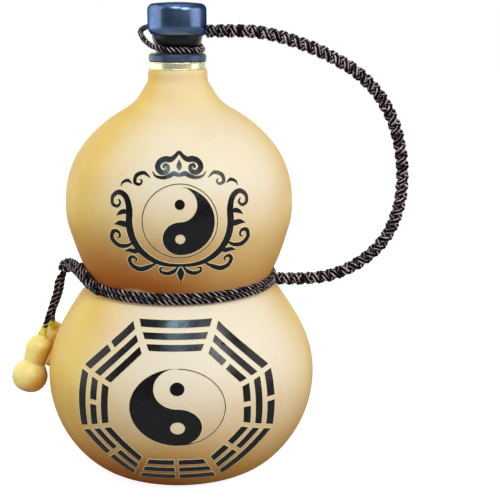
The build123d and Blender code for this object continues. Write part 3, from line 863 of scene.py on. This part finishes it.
def thread_ridge(root, crest, low, high, shift, steps=96, fade=16):
    """A helical ridge from a root radius to a crest radius, in millimetres, faded out at both ends."""
    look = bpy.context.scene.bottle_fittings
    lead, wide, narrow = look.thread_lead / MM, look.thread_root / 2 / MM, look.thread_crest / 2 / MM
    count = int((high - low) / lead * steps)
    points, faces = [], []
    for k in range(count + 1):
        height = low + (high - low) * k / count
        angle = 2 * math.pi * (height - shift) / lead
        tip = root + (crest - root) * smoothstep(min(1.0, k / fade, (count - k) / fade))
        for radius, offset in ((root, -wide), (tip, -narrow), (tip, narrow), (root, wide)):
            points.append((radius * math.cos(angle), radius * math.sin(angle), height + offset))
    for old in range(0, 4 * count, 4):
        for a in range(4):
            b = (a + 1) % 4
            face = (old + a, old + b, old + 4 + b, old + 4 + a)
            faces.append(face if crest > root else face[::-1])
    last = 4 * count
    faces += [(3, 2, 1, 0), (last, last + 1, last + 2, last + 3)]
    return np.array(points) * MM, faces


class BOTTLE_OT_fittings(Operator):
    """Finish the cap, the spout, the ferrule and their rings, and cut the screw thread"""

    bl_idname = "bottle.fittings"
    bl_label = "Cap and spout"

    def execute(self, context):
        look = context.scene.bottle_fittings
        tint = (0.10, 0.13, 0.22)
        cap_blue = lacquer_finish("cap_lacquer", look.lacquer, 0.24, 900, Metallic=1.0, Specular_Tint=tint)
        # painted shade: above the flange, under the cap's overhang, the spout is coloured near black, darker
        # than the flange
        spout_black = lacquer_finish("spout_lacquer", look.spout, 0.26, 2600, look.flange, Metallic=0.5)
        rubber = soft_finish("washer_rubber", look.rubber, 0.55, 0.00003)
        silicone = soft_finish(
            "seal_silicone", look.silicone, 0.34, 0.00001, IOR=1.41, Subsurface_Weight=0.15,
            Subsurface_Radius=(0.002, 0.002, 0.0018),
        )
        for node, finish, slot in (
            ("cap_shell", cap_blue, "cap_black"),
            ("spout", spout_black, "spout_black"),
            ("neck_ferrule", brass_finish(), "ferrule_brass"),
            ("mouth_washer", rubber, "washer_rubber"),
            ("cap_seal", silicone, "seal_silicone"),
        ):
            dress(node, finish)
        plug = lacquer_finish("plug_plastic", look.plug, 0.34, 1200)
        low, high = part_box("cap_plug")
        foot, top = low.z / MM, high.z / MM
        core, full, recess = 6.22, 6.9, 3.6
        outline = [
            (0.05, foot + 10), (recess - 0.9, foot + 10), (recess, foot + 9.1), (recess, foot + 0.4),
            (recess + 0.4, foot), (core - 0.7, foot), (core, foot + 0.9), (core, foot + 12.6),
            (full - 0.1, foot + 13.2), (full, foot + 13.5), (full, top), (0.05, top),
        ]
        core_piece = turned_piece("plug_core", outline, plug, "cap")
        points, faces = thread_ridge(core - 0.04, 6.84, foot + 2.0, foot + 12.0, foot)
        ridge = piece("plug_thread", points, faces, plug, "cap")
        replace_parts(core_piece, "cap_plug")
        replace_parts(ridge, "cap_plug")
        points, faces = thread_ridge(7.02, 6.42, foot + 2.6, foot + 12.4, foot + look.thread_lead / MM / 2)
        piece("spout_thread", points, faces, spout_black, "bottle")
        return {"FINISHED"}


# The steps along a cord's line, along its plies and along the plait's yarns
LINE_STEP, PLY_STEP, YARN_STEP = 0.0004, 0.00055, 0.0006
# A ply's radius as a share of the cord's diameter, and the loop's and the knot's lays as shares of the cord's
PLY_SHARE, LOOP_LAY, KNOT_LAY = 0.228, 0.78, 1.2
# The plait's yarn radius, how deep the strands' middle lies and how far they swing, and the taper of the ends
YARN, PLAIT_DEPTH, PLAIT_SWING, PLAIT_TAPER = 0.80 * MM, 1.45 * MM, 0.74 * MM, 4.0 * MM
PLAIT_UNEVENNESS = 0.07 * MM


def spline_points(route):
    """Points along the smooth line that has a route's points, in millimetres, as its control points."""
    curve = bpy.data.curves.new("route", "CURVE")
    curve.dimensions = "3D"
    curve.resolution_u = 24
    spline = curve.splines.new("NURBS")
    spline.points.add(len(route) - 1)
    for point, (x, y, z) in zip(spline.points, route):
        point.co = (x * MM, y * MM, z * MM, 1.0)
    spline.order_u = 3
    spline.use_endpoint_u = True
    holder = linked("route", curve)
    mesh = bpy.data.meshes.new_from_object(holder)
    points = np.array([tuple(vertex.co) for vertex in mesh.vertices])
    bpy.data.objects.remove(holder)
    bpy.data.curves.remove(curve)
    bpy.data.meshes.remove(mesh)
    return points


def evenly(points, step):
    """A line's points at even steps."""
    along = length_along(points)
    stops = np.linspace(0, along[-1], int(along[-1] / step) + 2)
    return np.stack([np.interp(stops, along, points[:, axis]) for axis in range(3)], -1)


def carried_frames(points):
    """Two directions across a line at each of its points, which turn as little as they can."""
    ahead = unit(np.gradient(points, axis=0))
    across = np.cross(ahead[0], (0.0, 0.0, 1.0))
    if np.linalg.norm(across) < 0.2:
        across = np.cross(ahead[0], (0.0, 1.0, 0.0))
    firsts = []
    for direction in ahead:
        across = unit(across - direction * (across @ direction))
        firsts.append(across)
    return np.array(firsts), np.cross(ahead, firsts)


class Line:
    """A cord's own line, with a place round it at any distance along it."""

    def __init__(self, points):
        self.points = evenly(points, LINE_STEP)
        self.along = length_along(self.points)
        self.length = self.along[-1]
        self.first, self.second = carried_frames(self.points)

    def around(self, along, angle, radius):
        """Points at distances along the line, at an angle and a radius round it, and the outward direction
        at each."""
        centre, first, second = (
            np.stack([np.interp(along, self.along, values[:, axis]) for axis in range(3)], -1)
            for values in (self.points, self.first, self.second)
        )
        out = first * np.cos(angle)[:, None] + second * np.sin(angle)[:, None]
        return centre + out * np.broadcast_to(radius, along.shape)[:, None], out


class Tubes:
    """Round tubes that are gathered into one mesh, with a map that runs round and along each of them."""

    def __init__(self):
        self.blocks, self.faces, self.runs = [], [], []
        self.count = 0

    def add(self, points, out, radius, sides=8):
        """Add one tube along a line, with domed ends; its map starts on the side that faces outwards."""
        ahead = unit(np.gradient(points, axis=0))
        first = unit(out - ahead * np.sum(out * ahead, 1)[:, None])
        second = np.cross(ahead, first)
        along = length_along(points)
        radius = np.broadcast_to(np.asarray(radius, float), along.shape)
        end = np.minimum(along, along[-1] - along) / (radius[0] * 0.8)
        radius = radius * np.sqrt(np.clip(1 - (1 - np.clip(end, 0.0, 1.0)) ** 2, 0.04, 1.0))
        turns = wheel(sides)[None, :, None]
        round_it = np.cos(turns) * first[:, None, :] + np.sin(turns) * second[:, None, :]
        self.blocks.append((points[:, None, :] + radius[:, None, None] * round_it).reshape(-1, 3))
        low = self.count
        for v, w in zip(along, along[1:]):
            for k in range(sides):
                after = (k + 1) % sides
                self.faces.append((low + k, low + after, low + sides + after, low + sides + k))
                self.runs += [(k / sides, v), ((k + 1) / sides, v), ((k + 1) / sides, w), (k / sides, w)]
            low += sides
        self.faces.append(tuple(self.count + k for k in reversed(range(sides))))
        self.faces.append(tuple(low + k for k in range(sides)))
        self.runs += [(0.5, 0.0)] * (2 * sides)
        self.count += len(points) * sides

    def make(self, name, material, body):
        """Make the piece, with its map named run."""
        mesh = bpy.data.meshes.new(name)
        mesh.from_pydata(np.concatenate(self.blocks).tolist(), [], self.faces)
        run = mesh.uv_layers.new(name="run")
        run.data.foreach_set("uv", np.array(self.runs, np.float32).ravel())
        return placed(name, mesh, material, body)


def twist(tubes, points, start_turn=0.0, lay_share=1.0):
    """Add a cord of three plies twisted together along a line."""
    look = bpy.context.scene.bottle_cords
    line = Line(points)
    along = np.linspace(0.0, line.length, int(line.length / PLY_STEP) + 2)
    ply = look.cord * PLY_SHARE
    for k in range(3):
        angle = start_turn + 2 * math.pi * (along / (look.lay * lay_share) + k / 3)
        tubes.add(*line.around(along, angle, look.cord / 2 - ply), ply)
    return line


def twisted_cord(name, points, material, body, lay_share=1.0):
    """A piece that is one twisted cord."""
    tubes = Tubes()
    line = twist(tubes, points, lay_share=lay_share)
    return tubes.make(name, material, body), line


def braided_cord(name, points, material, body):
    """A round plait of four strands, each two thick yarns side by side, a little uneven as hand work is."""
    look = bpy.context.scene.bottle_cords
    line = Line(points)
    tubes = Tubes()
    middle, per_turn = look.braid / 2 - PLAIT_DEPTH, look.braid_lead / (2 * math.pi)
    slope = math.atan(middle / per_turn)
    theta = np.linspace(0.0, line.length / per_turn, int(line.length / YARN_STEP) + 2)
    for hand, strand, side in product((1.0, -1.0), (0.0, math.pi), (-0.5, 0.5)):
        across = side * 2.0 * YARN
        slip = -across * math.sin(slope)
        turned = hand * across * math.cos(slope) / middle
        place = theta * per_turn + slip
        phase = theta + (hand * turned + slip / per_turn) / 2
        own = hand * 1.7 + strand + side
        uneven = np.sin(theta * 0.43 + own * 5.1) + 0.7 * np.sin(theta * 1.31 + own * 2.3)
        rise = hand * PLAIT_SWING * np.cos(2 * phase) + PLAIT_UNEVENNESS * uneven
        ends = np.clip(np.minimum(place, line.length - place) / PLAIT_TAPER, 0.0, 1.0)
        size = 0.88 + 0.12 * ends * (2 - ends)
        held = (place >= 0) & (place <= line.length)
        angle, radius = hand * theta + strand + turned, (middle + rise) * size
        tubes.add(*line.around(place[held], angle[held], radius[held]), YARN * (0.8 + 0.2 * size[held]))
    return tubes.make(name, material, body), line


# The routes of the free cords, in millimetres
HANDLE_ROUTE = (
    (13.4, 11.4, 214.8), (34.0, 4.6, 215.9), (52.0, 1.2, 212.3), (72.0, 0.0, 204.8), (91.5, 0.0, 193.4),
    (105.0, 0.0, 175.6), (111.2, 0.0, 153.5), (111.3, 0.0, 131.0), (103.9, 0.0, 111.2), (89.3, 0.0, 98.6),
    (74.0, 0.0, 92.8), (60.5, -0.6, 92.2), (46.9, -4.4, 93.6),
)
LOOP_ROUTE = (
    (18.2, 10.5, 214.8), (10.6, 12.6, 214.2), (5.6, 17.4, 216.6), (-4.4, 19.6, 218.0), (-13.6, 16.6, 217.4),
    (-18.0, 8.2, 215.8), (-17.2, -0.6, 213.0), (-13.0, -7.0, 208.8), (-6.4, -11.6, 206.8), (2.0, -12.9, 206.7),
    (9.8, -8.8, 206.7), (12.2, -1.8, 206.7), (11.8, 4.8, 207.0), (9.8, 10.2, 210.8), (11.6, 10.6, 214.6),
    (15.8, 8.9, 214.8),
)
TAIL_ROUTES = {
    "a": (
        (-58.83, 6.475, 95.76), (-62.2, 6.475, 92.60), (-62.9, 5.9, 86.5), (-65.2, 4.4, 79.8),
        (-67.43, 2.38, 73.13), (-70.90, 1.54, 62.67),
    ),
    "b": (
        (-58.83, 9.525, 95.76), (-60.0, 9.525, 92.40), (-61.0, 11.2, 86.3), (-63.4, 14.2, 79.2),
        (-67.14, 17.41, 71.33), (-67.76, 23.59, 62.19),
    ),
}
# The knot's middle, and how far its own cord turns, in degrees
KNOT_PLACE, KNOT_TURNING = (-56.4, 8.0, 99.0), 1320
# The waist's least radius, its height, and how far the skin flares above and below it
WAIST_RADIUS, WAIST_HEIGHT, FLARE_ABOVE, FLARE_BELOW = 45.1, 95.0, 15.55, 10.42
# The winding's step down between its turns, its azimuths, its seat on the skin and how far its end sinks
WINDING_PITCH, WINDING_START, WINDING_END, WINDING_STEP = 2.85, -153.0, 497.0, 12.5
WINDING_SEAT, WINDING_SINK = 1.4, 1.2
# From the knot down to the winding's first turn, and the strands that run beside it and over the knot
WINDING_LEAD = ((-52.4, -1.0, 101.0), (-49.0, -9.2, 100.4), (-46.2, -16.0, 98.6))
BUNDLE_ROUTES = (
    ((-38.6, -28.8, 93.6), (-42.8, -22.6, 94.2), (-47.0, -16.2, 96.4), (-50.4, -9.6, 98.6),
     (-53.4, -2.0, 99.2), (-56.0, 4.5, 98.6)),
    ((-40.6, -27.0, 95.4), (-44.6, -21.2, 96.6), (-48.6, -14.4, 98.8), (-51.6, -7.6, 100.8),
     (-54.2, -0.6, 101.0), (-57.6, 5.2, 100.0)),
    ((-52.6, 2.6, 100.8), (-56.8, 5.8, 101.2), (-59.8, 7.4, 99.8), (-61.0, 8.0, 96.4)),
    ((-44.6, -21.0, 99.6), (-47.6, -14.4, 101.8), (-50.6, -7.6, 103.2), (-54.0, 0.6, 103.2),
     (-57.6, 5.4, 102.2), (-60.4, 7.4, 99.8)),
    ((-45.9, -14.0, 95.6), (-47.4, -8.0, 96.9), (-48.3, -2.0, 97.4), (-49.8, 3.0, 97.5),
     (-52.6, 6.0, 97.4), (-56.0, 7.4, 98.0)),
    ((-41.0, 23.5, 95.0), (-43.8, 21.4, 95.0), (-47.0, 15.8, 95.3), (-51.4, 12.0, 96.3), (-55.8, 9.6, 97.8)),
)


def eased(value, start, end):
    """A smooth step from 0 to 1."""
    return smoothstep(min(max((value - start) / (end - start), 0.0), 1.0))


def winding_route():
    """The winding's control points: from the knot, two turns round the flaring waist, and back."""
    route = [KNOT_PLACE, *WINDING_LEAD]
    for k in range(int((WINDING_END - WINDING_START) / WINDING_STEP) + 1):
        azimuth = WINDING_START + k * WINDING_STEP
        offset = WINDING_PITCH / 2 - WINDING_PITCH * eased(azimuth, 155, 205)
        offset -= WINDING_SINK * eased(azimuth, 360, WINDING_END)
        flare = FLARE_ABOVE if offset > 0 else FLARE_BELOW
        seat = WINDING_SEAT * math.sqrt(1 + (2 * offset / flare) ** 2)
        radius = (WAIST_RADIUS + offset**2 / flare + seat) / math.cos(math.radians(WINDING_STEP / 2))
        angle = math.radians(azimuth)
        route.append((radius * math.cos(angle), radius * math.sin(angle), WAIST_HEIGHT + offset))
    return [*route, KNOT_PLACE]


def knot_route():
    """The side knot's own cord: a swirl on its front, turns back along the barrel, and a swirl behind."""
    route = []
    x, y, z = KNOT_PLACE
    for turn in range(0, KNOT_TURNING + 1, 30):
        radius = 0.75 + 1.25 * eased(min(turn, KNOT_TURNING - turn), -60, 300)
        back = -3.35 + 6.7 * eased(turn, 60, 1260)
        angle = math.radians(200.0 - turn)
        route.append((x + radius * math.cos(angle), y + back, z + radius * math.sin(angle)))
    return route


class BOTTLE_OT_cords(Operator):
    """Make the braided handle, the loop round the spout, the waist winding, the knot and its two tails"""

    bl_idname = "bottle.cords"
    bl_label = "Cords"

    def execute(self, context):
        brown = cord_finish()
        handle, line = braided_cord("handle_plait", spline_points(HANDLE_ROUTE), brown, "bottle")
        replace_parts(handle, "handle_braid")
        loop, line = twisted_cord("spout_loop", spline_points(LOOP_ROUTE), brown, "bottle", LOOP_LAY)
        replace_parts(loop, "mouth_loop")
        winding, _ = twisted_cord("waist_cord", spline_points(winding_route()), brown, "bottle")
        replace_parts(winding, "waist_winding")
        tubes = Tubes()
        for turn, route in enumerate((knot_route(), *BUNDLE_ROUTES)):
            twist(tubes, spline_points(route), 1.0 + turn, KNOT_LAY)
        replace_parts(tubes.make("tied_knot", brown, "bottle"), "side_knot")
        for letter, route in TAIL_ROUTES.items():
            tail, line = twisted_cord("tail_strand_" + letter, spline_points(route), brown, "tail")
            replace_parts(tail, "tail_cord_" + letter)
        return {"FINISHED"}


# Where each charm's base is, and which way its stem points
CHARMS = {
    "a": ((-79.776, -0.628, 35.940), (0.31415, 0.07662, 0.94628)),
    "b": ((-69.365, 39.384, 38.817), (0.05666, -0.55902, 0.82720)),
}
# A charm's cord hole as (radius, height) pairs, and its stem's two heights, foot, tip and bore radius
CHARM_CLOSING = ((2.1, 30.4), (2.1, 21.4), (0.05, 21.4), (0.05, 0.5), (1.3, 0.1))
STALK = (30.4, 34.3, 2.2, 1.75, 1.36)


def stalk_mesh(origin, axis, segments=48):
    """A dried stem: ribbed outside, flared at its foot, bored through for the cord."""
    low, high, foot, tip, bore = STALK
    angles = wheel(segments)
    ribs = 0.5 + 0.5 * np.cos(7 * angles + 0.6) + 0.2 * np.cos(3 * angles)
    rings = []
    for share in np.linspace(0, 1, 14):
        flare = foot + (tip - foot) * (1 - (1 - share) ** 1.6)
        radius = flare - 0.17 * ribs * (0.35 + 0.65 * math.sin(math.pi * min(share + 0.1, 1.0)))
        if share in (0, 1):
            radius = radius - 0.12
        height = low + (high - low) * share + 0.06 * np.cos(5 * angles) * (share == 1)
        rings.append(ring(angles, radius, height))
    rings += [ring(angles, bore, high - 0.25), ring(angles, bore, low)]
    points = np.concatenate(rings) * MM @ axes_along(axis) + np.array(origin) * MM
    return points, ring_grid(len(rings), segments)


class BOTTLE_OT_charms(Operator):
    """Make the two small gourds and their dried stems"""

    bl_idname = "bottle.charms"
    bl_label = "Charms"

    def execute(self, context):
        look = context.scene.bottle_charms
        skin_look, stem_look = charm_finish(), stem_finish()
        closing = [(radius * MM, height * MM) for radius, height in CHARM_CLOSING]
        for letter, (origin, axis) in CHARMS.items():
            node, body = f"charm_{letter}_gourd", "charm_" + letter
            skin = Skin(node, [x * MM for x in origin], axis, look.unevenness, ((0.026, 0.04, 0.006),))
            points, faces = skin_mesh(skin, 0.0006, 72, closing)
            gourd = piece("charm_skin_" + letter, points, faces, skin_look, body)
            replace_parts(gourd, node)
            points, faces = stalk_mesh(origin, axis)
            stalk = piece("charm_stalk_" + letter, points, faces, stem_look, body, 60.0)
            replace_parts(stalk, f"charm_{letter}_stem")
        return {"FINISHED"}


def aimed(name, data, place, forward):
    """A lamp or a camera that stands at a place and looks in a direction."""
    holder = linked(name, data)
    holder.location = place
    holder.rotation_mode = "QUATERNION"
    holder.rotation_quaternion = forward.to_track_quat("-Z", "Y")
    return holder


def soft_lamp(name, place, aim, size, power, tint=(1.0, 1.0, 1.0)):
    """A soft rectangular lamp that points at a place."""
    lamp = bpy.data.lights.new(name, "AREA")
    lamp.shape = "RECTANGLE"
    lamp.size, lamp.size_y = size
    lamp.energy = power
    lamp.color = tint
    aimed(name, lamp, place, Vector(aim) - Vector(place))


def lay_floor(colour, reach=3.0):
    """A wide sheet of paper just under the bottle, which the camera and the cap's shine see as white."""
    mesh = bpy.data.meshes.new("floor")
    corners = [(x * reach, y * reach, 0.0) for x, y in ((-1, -1), (1, -1), (1, 1), (-1, 1))]
    mesh.from_pydata(corners, [], [(0, 1, 2, 3)])
    floor = linked("floor", mesh)
    floor.location.z = -0.0003
    paper = Finish("floor_paper", Specular_IOR_Level=0.2, Roughness=0.8)
    fleck = paper.spread(paper.grain(60, 2), 0.3, 0.7)
    open_floor = paper.spread(paper.part(paper.place, "Y"), 0.10, 0.80)
    seen = paper.sum("MAXIMUM", paper.ray("Camera"), paper.times(paper.ray("Glossy"), open_floor))
    seen = paper.sum("MAXIMUM", seen, paper.ray("Transmission"))
    paper.set(Base_Color=paper.blend(fleck, colour, (0.365, 0.365, 0.365)))
    paper.set(Emission_Color=(1.0, 1.0, 1.0), Emission_Strength=paper.times(seen, 0.88))
    mesh.materials.append(paper.material)


def light_surround():
    """A white surround: full to the camera, dimmer as light, and mirrored only from behind and above."""
    world = bpy.data.worlds.new("surround")
    bpy.context.scene.world = world
    world.use_nodes = True
    sky = Nodes(world.node_tree)
    toward = sky.add("TexCoord", {})["Generated"]
    behind = sky.spread(sky.part(toward, "Y"), 0.55, 1.0, -0.42, 1.0)
    overhead = sky.spread(sky.part(toward, "Z"), 0.70, 1.0, 0.0, 1.1)
    mirrored = sky.times(sky.ray("Glossy"), sky.sum("ADD", behind, overhead))
    clear = sky.sum("MAXIMUM", sky.ray("Camera"), sky.ray("Transmission"))
    shown = sky.sum("ADD", mirrored, clear)
    level = sky.add("MapRange", {"Value": shown, "To Min": 0.38, "To Max": 1.0}, clamp=False)["Result"]
    background = sky.nodes["Background"].inputs
    sky.feed((1.0, 1.0, 1.0), background["Color"])
    sky.feed(level, background["Strength"])


class BOTTLE_OT_stage(Operator):
    """Set the floor, the background, the lamps and the camera"""

    bl_idname = "bottle.stage"
    bl_label = "Stage"

    def execute(self, context):
        look, scene = context.scene.bottle_stage, context.scene
        scene.view_settings.view_transform = "Standard"
        lay_floor(look.floor)
        light_surround()
        soft_lamp("lamp_front", (0.50, -0.75, 0.68), (0.0, 0.0, 0.13), (0.45, 0.45), 4.7)
        soft_lamp("lamp_right", (0.80, -0.18, 0.32), (0.0, 0.0, 0.15), (0.66, 0.50), 1.6)
        soft_lamp("lamp_left", (-0.80, 0.18, 0.30), (0.0, 0.0, 0.15), (1.30, 1.50), 8.6)
        soft_lamp("lamp_above", (-0.06, -0.70, 0.92), (0.0, 0.0, 0.10), (0.34, 0.22), 4.2, (0.56, 0.80, 1.0))
        camera = bpy.data.cameras.new("camera")
        camera.lens = look.lens
        camera.sensor_width = 36.0
        camera.clip_start, camera.clip_end = 0.01, 20.0
        level = math.cos(look.pitch)
        forward = Vector((math.sin(look.yaw) * level, math.cos(look.yaw) * level, -math.sin(look.pitch)))
        scene.camera = aimed("camera", camera, look.camera_place, forward)
        return {"FINISHED"}


class BOTTLE_PT_panel(Panel):
    """The bottle's pieces, in the 3D view's sidebar"""

    bl_idname = "BOTTLE_PT_panel"
    bl_label = "Gourd bottle"
    bl_space_type = "VIEW_3D"
    bl_region_type = "UI"
    bl_category = "Gourd bottle"

    def draw(self, context):
        for operator, settings in PIECES:
            box = self.layout.box()
            box.operator(operator.bl_idname)
            for name in settings.__annotations__:
                box.prop(getattr(context.scene, SETTINGS[settings]), name)


SETTINGS = {
    GourdSettings: "bottle_gourd",
    PatternSettings: "bottle_pattern",
    FittingSettings: "bottle_fittings",
    CharmSettings: "bottle_charms",
    CordSettings: "bottle_cords",
    StageSettings: "bottle_stage",
}
PIECES = (
    (BOTTLE_OT_gourd, GourdSettings),
    (BOTTLE_OT_pattern, PatternSettings),
    (BOTTLE_OT_fittings, FittingSettings),
    (BOTTLE_OT_charms, CharmSettings),
    (BOTTLE_OT_cords, CordSettings),
    (BOTTLE_OT_stage, StageSettings),
)


def register():
    for settings, name in SETTINGS.items():
        bpy.utils.register_class(settings)
        setattr(bpy.types.Scene, name, PointerProperty(type=settings))
    for operator, _ in PIECES:
        bpy.utils.register_class(operator)
    bpy.utils.register_class(BOTTLE_PT_panel)


def unregister():
    bpy.utils.unregister_class(BOTTLE_PT_panel)
    for operator, _ in reversed(PIECES):
        bpy.utils.unregister_class(operator)
    for settings, name in SETTINGS.items():
        delattr(bpy.types.Scene, name)
        bpy.utils.unregister_class(settings)


def main():
    """Dress the whole bottle."""
    register()
    bpy.ops.bottle.gourd()
    bpy.ops.bottle.pattern()
    bpy.ops.bottle.fittings()
    bpy.ops.bottle.charms()
    bpy.ops.bottle.cords()
    bpy.ops.bottle.stage()


if __name__ == "__main__":
    main()
